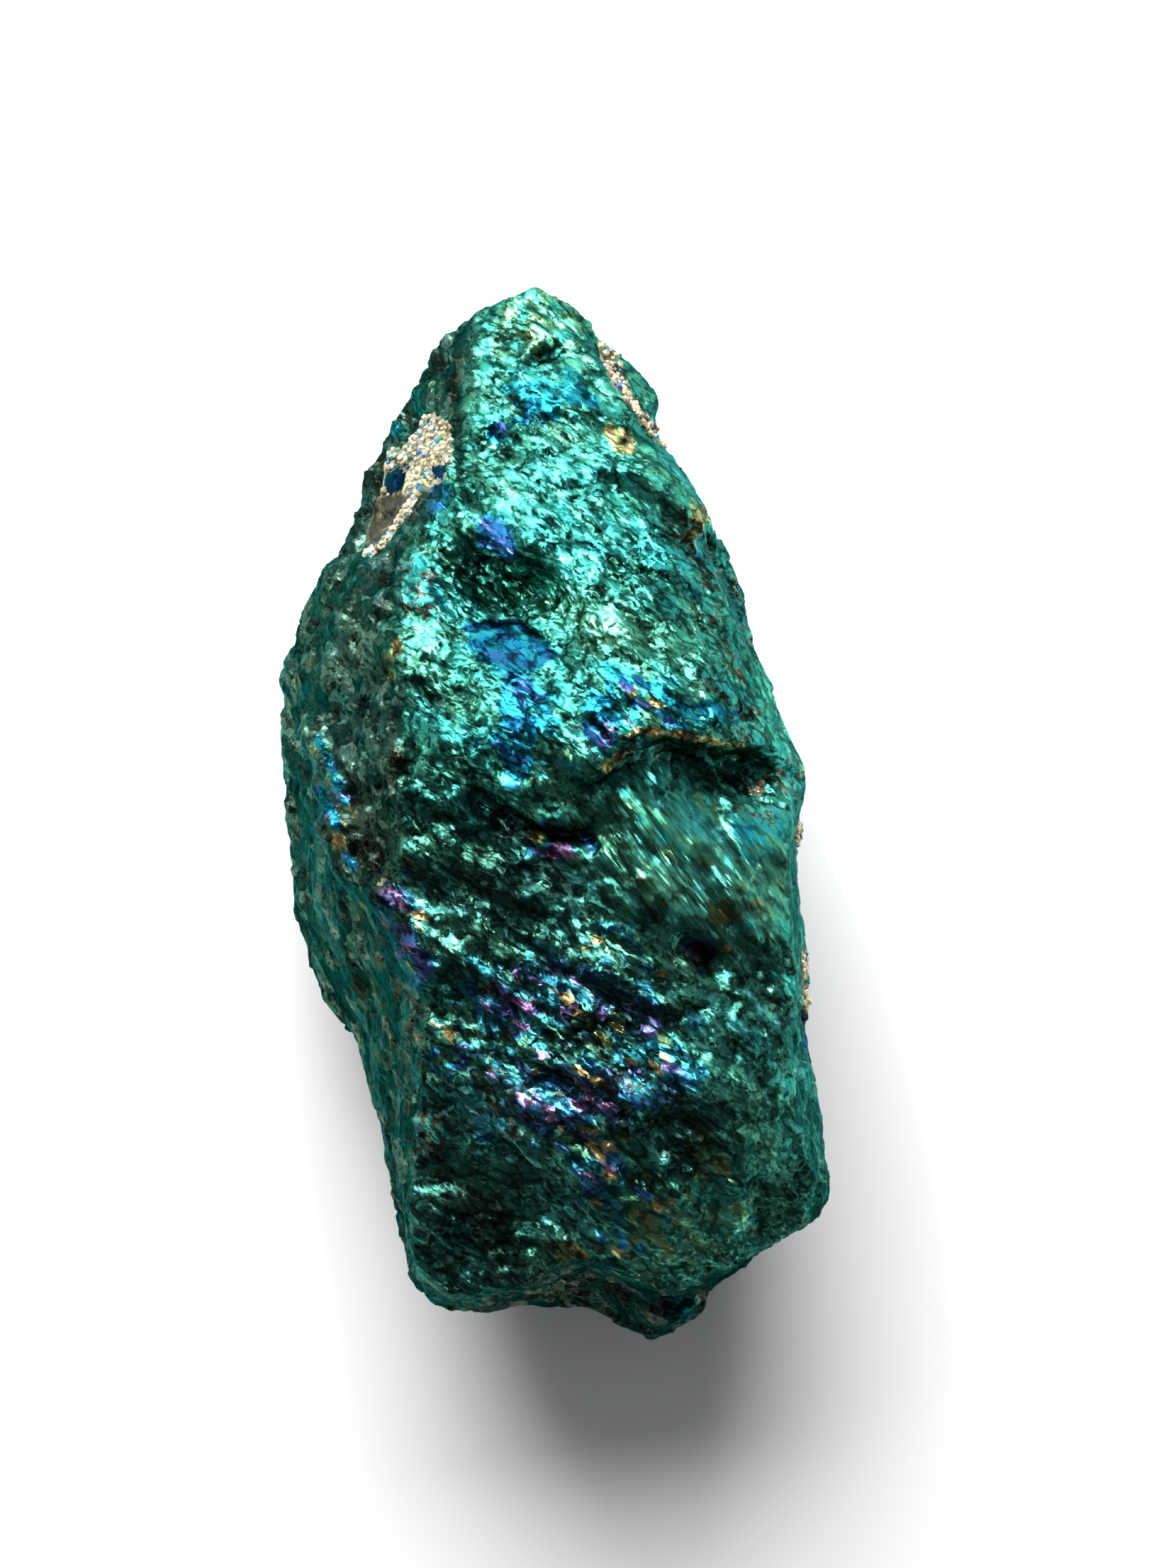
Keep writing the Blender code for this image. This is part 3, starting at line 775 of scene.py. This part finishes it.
def rising(values, low, high):
    """0 up to low and 1 from high on, with an even rise between them."""
    return np.clip((values - low) / (high - low), 0.0, 1.0)


def no_less(least, share):
    """The least where the share is 0, and 1 where it is 1."""
    return least + (1.0 - least) * share


def oval(points, middle, reach):
    """1 in the middle of an oval patch, falling to nought past its reach."""
    away = (points - np.array(middle)) / np.array(reach)
    return np.clip(PATCH_PEAK - PATCH_FALL * np.linalg.norm(away, axis=1), 0.0, 1.0)


def patch_strength(places, middle, reach):
    """How strong a patch is at each place, seen from above."""
    return oval(places[:, :2], middle, reach)


def side_strength(places, middle, reach):
    """How strong a patch on the steep right side is at each place, seen from that side."""
    return oval(places[:, 1:], middle, reach) * (places[:, 0] > SIDE_FROM)


def strongest(places, rows):
    """The strongest of the rows' patches at each place."""
    strength = np.zeros(len(places))
    for middle, reach, most in rows:
        strength = np.maximum(strength, patch_strength(places, middle, reach) * most)
    return strength


def inside(places, outline):
    """1 for each place inside an outline, seen from above, else 0."""
    across, along = places[:, 0], places[:, 1]
    crossings = np.zeros(len(places))
    for (ax, ay), (bx, by) in zip(outline, outline[1:] + outline[:1]):
        spans = (ay > along) != (by > along)
        edge = ax + (along - ay) * (bx - ax) / (by - ay) if by != ay else ax
        crossings += spans & (across < edge)
    return crossings % 2


def off_planes(places):
    """0 where a flat place is, seen from above, else 1."""
    free = np.ones(len(places))
    for outline, _film, _wrinkled, _light in PLANES.values():
        free *= 1.0 - inside(places, outline)
    return free


def above_girdle(places):
    """1 on the marked side of the lump, falling to nought below its widest outline."""
    return rising(places[:, 2], *MARKS_END)


def read_points(mesh, name):
    """One row of three numbers for each point of the mesh."""
    values = np.empty(len(mesh.vertices) * 3)
    mesh.vertices.foreach_get(name, values)
    return values.reshape(-1, 3)


def store(mesh, name, values):
    """Keeps one number for each point of the mesh, for the crinkling or the material."""
    attribute = mesh.attributes.new(name, "FLOAT", "POINT")
    attribute.data.foreach_set("value", np.asarray(values, dtype=np.float32))


def mark_wrinkles(mesh):
    """Stores how wrinkled, striated, shattered and leaning each place is, before crinkling."""
    places = read_points(mesh, "co") / MM
    above = above_girdle(places)
    wrinkled = np.ones(len(places))
    for middle, reach, gone in CALM:
        wrinkled *= 1.0 - patch_strength(places, middle, reach) * gone * above
    for outline, _film, left, _light in PLANES.values():
        wrinkled *= 1.0 - inside(places, outline) * above * (1.0 - left)
    leaned = np.zeros(len(places))
    for middle, reach, strength in LEANING:
        leaned += patch_strength(places, middle, reach) * strength * above
    store(mesh, "wrinkled", wrinkled)
    store(mesh, "striated", strongest(places, STRIATED) * above)
    store(mesh, "shattered", strongest(places, SHATTERED) * above)
    store(mesh, "leaning", leaned)


def mark_film(mesh, places, above):
    """Stores how much thicker or thinner the film is, and how strongly that shows."""
    shares = []
    for middle, reach, level, strength in FILM_PATCHES:
        shares.append((level, patch_strength(places, middle, reach) * strength * above))
    for outline, level, _wrinkled, _light in PLANES.values():
        shares.append((level, inside(places, outline) * above * PLANE_PATCH))
    for middle, reach, level in SIDE_FILM:
        shares.append((level, side_strength(places, middle, reach)))
    total = sum(share for _level, share in shares)
    change = sum(share * (level - PLAIN_FILM) for level, share in shares)
    store(mesh, "film_change", change / np.maximum(total, LEAST_PATCH))
    store(mesh, "film_patch", np.clip(total, 0.0, MOST_PATCH))


def mark_rock(mesh, places, above):
    """Stores where rock shows, which is nowhere on a flat place, and its tone."""
    rock = np.zeros(len(places))
    tone = np.zeros(len(places))
    for outline, level in ROCK.values():
        share = inside(places, outline) * above
        rock = np.maximum(rock, share)
        tone = np.where(share > TONE_FROM, level, tone)
    for middle, reach, level in SIDE_ROCK:
        share = side_strength(places, middle, reach)
        rock = np.maximum(rock, share)
        tone = np.where(share > SIDE_TONE_FROM, level, tone)
    store(mesh, "rock", rock * off_planes(places))
    store(mesh, "tone", tone)


def brightness(places, normals):
    """Painted light and shade by place: lightest near the pointed end, in painted shade on the flank
    and the foot.
    """
    across, along = places[:, 0], places[:, 1]
    ridge = np.array(LEFT_RIDGE)[::-1]
    rim = np.array(FOOT_RIM)
    from_ridge = across - np.interp(along, ridge[:, 1], ridge[:, 0])
    from_rim = along - np.interp(across, rim[:, 0], rim[:, 1])
    face = rising(from_ridge, -RIDGE_BLUR / 2.0, RIDGE_BLUR / 2.0)
    body = rising(from_rim, -RIM_BLUR / 2.0, RIM_BLUR / 2.0)
    pointed = rising(along, *POINTED_HALF)
    steep = 1.0 - rising(normals[:, 2], *STEEP_FACING)
    low = rising(-along, *LOW_START)
    kept = 1.0 - steep * (STEEP_LOSS + LOW_STEEP_LOSS * low)
    shares = no_less(FLANK_SHARE, face * body) * no_less(LOWER_SHARE, pointed)
    return shares * kept * no_less(FOOT_SHARE, body)


def mark_brightness(mesh, places, above):
    """Stores how deep the film's painted shade is, and all the light and shade painted on it."""
    painted_light = brightness(places, read_points(mesh, "normal"))
    painted_shade = np.clip(1.0 - painted_light, 0.0, DEEPEST_PAINTED_SHADE) * off_planes(places)
    # Painted shade in hollows, painted light on some places, and painted light or shade on flat
    # places.
    for middle, reach, taken in PAINTED_SHADE_PATCHES:
        painted_light *= 1.0 - patch_strength(places, middle, reach) * taken * above
    for middle, reach, added in PAINTED_LIGHT_PATCHES:
        painted_light *= 1.0 + patch_strength(places, middle, reach) * added * above
    for outline, _film, _wrinkled, light in PLANES.values():
        painted_light *= 1.0 - inside(places, outline) * above * (1.0 - light)
    store(mesh, "painted_shade", painted_shade)
    store(mesh, "painted_light", painted_light)


def mark_patches(mesh):
    """Stores what the material reads: film, rock, spots, painted light and shade, and stain."""
    places = read_points(mesh, "co") / MM
    above = above_girdle(places)
    mark_film(mesh, places, above)
    mark_rock(mesh, places, above)
    store(mesh, "spots", strongest(places, SPOTTED) * above)
    mark_brightness(mesh, places, above)
    store(mesh, "stain", strongest(places, STAINED) * above)


def turned_and_squeezed(tree, place, angle, stretch):
    """Places in a frame in which whatever is made is longer one way, at an angle."""
    squeeze = (1.0 / stretch, 1.0, 1.0 / math.sqrt(stretch))
    return tree.vector("MULTIPLY", tree.turn(place, angle), squeeze)


def leaning(tree, along, facets, wander):
    """How small flat facets of several sizes lean together, and each size's random colour."""
    widest = facets[0][0]
    drift = tree.noise(along, 1.0 / widest, 1.0, "Color")
    lean = (0.0, 0.0, 0.0)
    picks = []
    for width, amount in facets:
        cell = tree.vector("MULTIPLY", along, (1.0 / width,) * 3)
        cell = tree.vector("MULTIPLY_ADD", drift, (wander * widest / width,) * 3, cell)
        pick = tree.cells(cell).outputs["Color"]
        lean = tree.vector("MULTIPLY_ADD", tree.centred_colour(pick), (amount,) * 3, lean)
        picks.append(pick)
    return lean, picks


def facet_normal(tree, place, along):
    """The way each small facet of the finish faces, and each size's random colour."""
    lean, picks = leaning(tree, along, FACETS, FACET_WANDER)
    ways = turned_and_squeezed(tree, place, STRIA_ANGLE, STRIA_STRETCH)
    stria_lean, _stria_picks = leaning(tree, ways, STRIAE, STRIA_WANDER)
    stria_lean = tree.vector("ADD", stria_lean, STRIA_FACING)
    amount = tree.sum("MULTIPLY_ADD", tree.marked("wrinkled"), WRINKLED_LEAN, SMOOTH_LEAN)
    amount = tree.sum("MULTIPLY_ADD", tree.marked("shattered"), SHATTERED_LEAN, amount)
    lean = tree.vector("MULTIPLY", lean, tree.grey(amount))
    lean = tree.mix_vectors(tree.marked("striated"), lean, stria_lean)
    together = tree.vector("MULTIPLY", tree.grey(tree.marked("leaning")), LEAN)
    lean = tree.vector("ADD", lean, together)
    skin = tree.add("ShaderNodeNewGeometry").outputs["Normal"]
    return tree.vector("NORMALIZE", tree.vector("ADD", skin, lean)), picks


def film_colour(tree, broad, ragged, pick):
    """The colour of the film, from its patches, its waves, its speckle and its spots."""
    random_film, blue_pick, gold_pick = tree.parts(pick)
    patch = tree.sum("MULTIPLY_ADD", ragged, PATCH_RAGGED, tree.marked("film_patch"))
    patch = tree.between(patch, *PATCH_EDGE)
    film = tree.sum("MULTIPLY_ADD", tree.marked("film_change"), patch, PLAIN_FILM)
    film = tree.sum("MULTIPLY_ADD", broad, FILM_BROAD, film)
    film = tree.sum("MULTIPLY_ADD", ragged, FILM_RAGGED, film)
    speckle = tree.sum("MULTIPLY_ADD", patch, PATCH_SPECKLE, FILM_SPECKLE)
    film = tree.sum("MULTIPLY_ADD", tree.centred(random_film), speckle, film)
    spotted = tree.between(tree.sum("SUBTRACT", tree.marked("spots"), broad), *SPOTTED_EDGE)
    blue_spots = tree.sum("MULTIPLY", tree.between(blue_pick, *BLUE_SPOTS), spotted)
    film = tree.sum("MULTIPLY_ADD", blue_spots, BLUE_FILM, film)
    gold_spots = tree.sum("MULTIPLY", tree.between(gold_pick, *GOLD_SPOTS), spotted)
    film = tree.sum("MULTIPLY_ADD", gold_spots, GOLD_FILM, film, clamp=True)
    return tree.ramp(film, FILM_COLOURS)


def crease_shade_and_stain(tree, along, broad, ragged, painted_shade):
    """How much light the painted shade of the creases and wrinkles leaves, and how strongly creases
    are stained.
    """
    spacing, detail, begins, ends, darkest = CREASE
    crease = tree.lines(along, spacing, detail)
    crease = tree.sum("MULTIPLY_ADD", ragged, CREASE_RAGGED, crease)
    stained = tree.sum("MULTIPLY_ADD", ragged, STAIN_RAGGED, crease)
    stained = tree.between(stained, *STAIN_WIDTH, 1.0, 0.0)
    stained = tree.sum("MULTIPLY", stained, tree.marked("stain"))
    stained = tree.sum("MULTIPLY", stained, tree.between(broad, -STAIN_BREAK, STAIN_BREAK))
    crease = tree.between(crease, begins, ends, darkest, 1.0)
    spacing, detail, begins, ends, darkest = WRINKLE
    wrinkle = tree.between(tree.lines(along, spacing, detail), begins, ends, darkest, 1.0)
    wrinkle = tree.sum("MAXIMUM", wrinkle, tree.sum("MULTIPLY", painted_shade, SHADE_COVERS))
    crease = tree.sum("MINIMUM", crease, wrinkle)
    covered = tree.sum("MULTIPLY", tree.marked("striated"), STRIATED_COVERS)
    return tree.sum("MAXIMUM", crease, covered), stained


def mottling(tree, broad_pick, small_pick, painted_shade):
    """How much lighter or darker each facet is painted than its neighbours where the film has painted
    shade.
    """
    least, more = SHADE_MOTTLE_BROAD
    mottled = tree.sum("MULTIPLY_ADD", tree.sum("POWER", broad_pick, 2.0), more, least)
    least, more = SHADE_MOTTLE_SMALL
    mottled = tree.sum("MULTIPLY", mottled, tree.sum("MULTIPLY_ADD", small_pick, more, least))
    return tree.sum("MULTIPLY_ADD", tree.sum("SUBTRACT", mottled, 1.0), painted_shade, 1.0)


def ore_material():
    """A thin, many-coloured film on shining ore, with pale rock where the ore grew in it, and painted
    light and shade.
    """
    material = bpy.data.materials.new("ore_film")
    material.use_nodes = True
    tree = Tree(material.node_tree)
    shader = material.node_tree.nodes["Principled BSDF"]
    place = tree.add("ShaderNodeTexCoord").outputs["Object"]
    along = turned_and_squeezed(tree, place, GRAIN_ANGLE, FACET_STRETCH)
    normal, picks = facet_normal(tree, place, along)
    tree.join(normal, shader.inputs["Normal"])
    tree.join(normal, shader.inputs["Coat Normal"])

    broad = tree.centred(tree.noise(along, BROAD_WAVES, 1.0))
    ragged = tree.centred(tree.noise(along, RAGGED_WAVES, 3.0))
    broad_pick = tree.parts(picks[0])[1]
    facet_pick, _blue_pick, gold_pick = tree.parts(picks[1])
    painted_shade = tree.marked("painted_shade")
    crease, stained = crease_shade_and_stain(tree, along, broad, ragged, painted_shade)
    mottled = mottling(tree, broad_pick, gold_pick, painted_shade)
    # Painted shade in the low gaps between chips.
    chip_gap_shade = tree.sum("MULTIPLY_ADD", ragged, GAP_RAGGED, tree.marked("lift"))
    chip_gap_shade = tree.between(chip_gap_shade, *GAP_REACH, GAP_SHADE, 1.0)
    # Painted shade of creases and gaps, and painted light and shade by place, on the film.
    painted_shading = tree.sum("MULTIPLY", tree.sum("MULTIPLY", crease, chip_gap_shade), tree.marked("painted_light"))
    painted_shading = tree.sum("MULTIPLY", painted_shading, mottled)
    tarnish_and_painted_light = film_colour(tree, broad, ragged, picks[1])
    tarnish_and_painted_light = tree.blend(stained, tarnish_and_painted_light, (*STAIN_COLOUR, 1.0))
    tarnish_and_painted_light = tree.vector("MULTIPLY", tarnish_and_painted_light, tree.grey(painted_shading))
    # A grey haze where the film has painted shade.
    hazy = tree.sum("MULTIPLY", tree.sum("MULTIPLY", painted_shade, crease), mottled)
    haze = tree.vector("MULTIPLY", tree.grey(hazy), SHADE_HAZE)
    tarnish_and_painted_light = tree.vector("ADD", tarnish_and_painted_light, haze)

    grain = tree.centred(tree.noise(place, ROCK_WAVES, 2.0))
    tone = tree.sum("MULTIPLY_ADD", grain, TONE_GRAIN, tree.marked("tone"))
    # The painted crease shade falls on the rock too.
    pale = tree.vector("MULTIPLY", tree.ramp(tone, ROCK_TONES), tree.grey(crease))
    rock = tree.sum("MULTIPLY_ADD", grain, ROCK_GRAIN, tree.marked("rock"))
    rock = tree.between(rock, *ROCK_EDGE)
    tree.join(tree.blend(rock, tarnish_and_painted_light, pale), shader.inputs["Base Color"])
    tree.join(tree.sum("SUBTRACT", 1.0, rock), shader.inputs["Metallic"])
    rough = tree.sum("MULTIPLY_ADD", facet_pick, FACET_ROUGHNESS, ROUGHNESS)
    rough = tree.sum("MULTIPLY_ADD", rock, ROCK_ROUGHNESS, rough)
    tree.join(rough, shader.inputs["Roughness"])
    # The clear coat is as strong as the painted light there.
    tree.join(tree.sum("MULTIPLY", tree.marked("painted_light"), COAT), shader.inputs["Coat Weight"])
    shader.inputs["Coat Roughness"].default_value = COAT_ROUGHNESS
    shader.inputs["Specular Tint"].default_value = (*EDGE_TINT, 1.0)
    return material


def bake(holder):
    """Turns what the object's modifiers make into its own plain mesh."""
    graph = bpy.context.evaluated_depsgraph_get()
    mesh = bpy.data.meshes.new_from_object(holder.evaluated_get(graph))
    holder.modifiers.clear()
    holder.data = mesh
    return mesh


def evenly_faced(node):
    """A copy of a CAD node as one closed mesh, remade in small faces of one size."""
    form = bmesh.new()
    form.from_mesh(node.data)
    bmesh.ops.remove_doubles(form, verts=form.verts, dist=WELD)
    mesh = bpy.data.meshes.new("ore")
    form.to_mesh(mesh)
    form.free()
    ore = bpy.data.objects.new("ore", mesh)
    bpy.context.scene.collection.objects.link(ore)
    remake = ore.modifiers.new("even_faces", "REMESH")
    remake.mode = "VOXEL"
    remake.voxel_size = SKIN_FACE
    bake(ore)
    return ore


def make_ore(node):
    """The dressed lump, which stands for the CAD node."""
    ore = evenly_faced(node)
    mark_wrinkles(ore.data)
    crinkle = ore.modifiers.new("crinkle", "NODES")
    crinkle.node_group = skin_tree()
    mesh = bake(ore)
    mark_patches(mesh)
    mesh.shade_smooth()
    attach(ore, "root")
    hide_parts(node.name)
    return ore


def pocket_ground(skin):
    """A copy of only those faces of the skin that crystals stand on."""
    form = bmesh.new()
    form.from_mesh(skin)
    rock = form.verts.layers.float["rock"]
    tone = form.verts.layers.float["tone"]
    others = [
        face for face in form.faces
        if min(point[rock] for point in face.verts) < CRYSTAL_ROCK
        or max(point[tone] for point in face.verts) > CRYSTAL_TONE
    ]
    bmesh.ops.delete(form, geom=others, context="FACES")
    ground = bpy.data.meshes.new("pocket_grains")
    form.to_mesh(ground)
    form.free()
    return ground


def grain_tree():
    """Geometry nodes that set small flat-faced grains on a mesh, each turned its own way."""
    group = mesh_changer("grains_on_ground", {
        "Spacing": GRAIN_SPACING,
        "Smallest": GRAIN_SIZES[0],
        "Largest": GRAIN_SIZES[1],
        "Seed": GRAIN_SEED,
    })
    tree = Tree(group)
    given = tree.add("NodeGroupInput").outputs
    spread = tree.add("GeometryNodeDistributePointsOnFaces", distribute_method="POISSON")
    tree.join(given["Geometry"], spread.inputs["Mesh"])
    tree.join(given["Spacing"], spread.inputs["Distance Min"])
    spread.inputs["Density Max"].default_value = GRAIN_TRIES / GRAIN_SPACING ** 2
    tree.join(given["Seed"], spread.inputs["Seed"])
    pick = tree.add("FunctionNodeRandomValue", data_type="FLOAT")
    tree.join(given["Seed"], pick.inputs["Seed"])
    points = tree.keep(spread.outputs["Points"], "grain", pick.outputs[1])
    crystal = tree.add("GeometryNodeMeshIcoSphere")
    crystal.inputs["Radius"].default_value = 1.0
    crystal.inputs["Subdivisions"].default_value = 1
    turn = tree.add("FunctionNodeRandomValue", data_type="FLOAT_VECTOR")
    turn.inputs["Max"].default_value = (math.tau,) * 3
    size = tree.add("FunctionNodeRandomValue", data_type="FLOAT")
    sizes = [s for s in size.inputs if s.enabled]
    tree.join(given["Smallest"], sizes[0])
    tree.join(given["Largest"], sizes[1])
    stand = tree.add("GeometryNodeInstanceOnPoints")
    tree.join(points, stand.inputs["Points"])
    tree.join(crystal.outputs["Mesh"], stand.inputs["Instance"])
    tree.join(turn.outputs[0], stand.inputs["Rotation"])
    tree.join(next(s for s in size.outputs if s.enabled), stand.inputs["Scale"])
    tree.end(stand.outputs[0], "crystal_grain")
    return group


def grain_material():
    """Glassy grains: pale quartz and gold, some brown, a few with a blue or teal film."""
    material = bpy.data.materials.new("crystal_grain")
    material.use_nodes = True
    tree = Tree(material.node_tree)
    shader = material.node_tree.nodes["Principled BSDF"]
    colour = tree.ramp(tree.marked("grain"), GRAIN_COLOURS, "CONSTANT")
    tree.join(colour, shader.inputs["Base Color"])
    shader.inputs["Metallic"].default_value = GRAIN_METAL
    shader.inputs["Roughness"].default_value = GRAIN_ROUGHNESS
    return material


def make_grains(skin):
    """The grains that line the pocket and the bands of rock."""
    grains = bpy.data.objects.new("pocket_grains", pocket_ground(skin))
    bpy.context.scene.collection.objects.link(grains)
    strew = grains.modifiers.new("strew", "NODES")
    strew.node_group = grain_tree()
    bake(grains).shade_flat()
    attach(grains, "root")
    return grains


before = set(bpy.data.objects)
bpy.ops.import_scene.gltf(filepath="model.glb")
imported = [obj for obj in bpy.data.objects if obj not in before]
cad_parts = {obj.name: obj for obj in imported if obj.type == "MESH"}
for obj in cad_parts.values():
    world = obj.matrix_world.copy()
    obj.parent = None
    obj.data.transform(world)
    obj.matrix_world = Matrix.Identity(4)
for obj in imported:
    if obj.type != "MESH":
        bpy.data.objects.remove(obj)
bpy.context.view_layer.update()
set_camera()
set_lights()
add_floor()
ore_material()
grain_material()
ore = make_ore(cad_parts["peacock_ore"])
make_grains(ore.data)
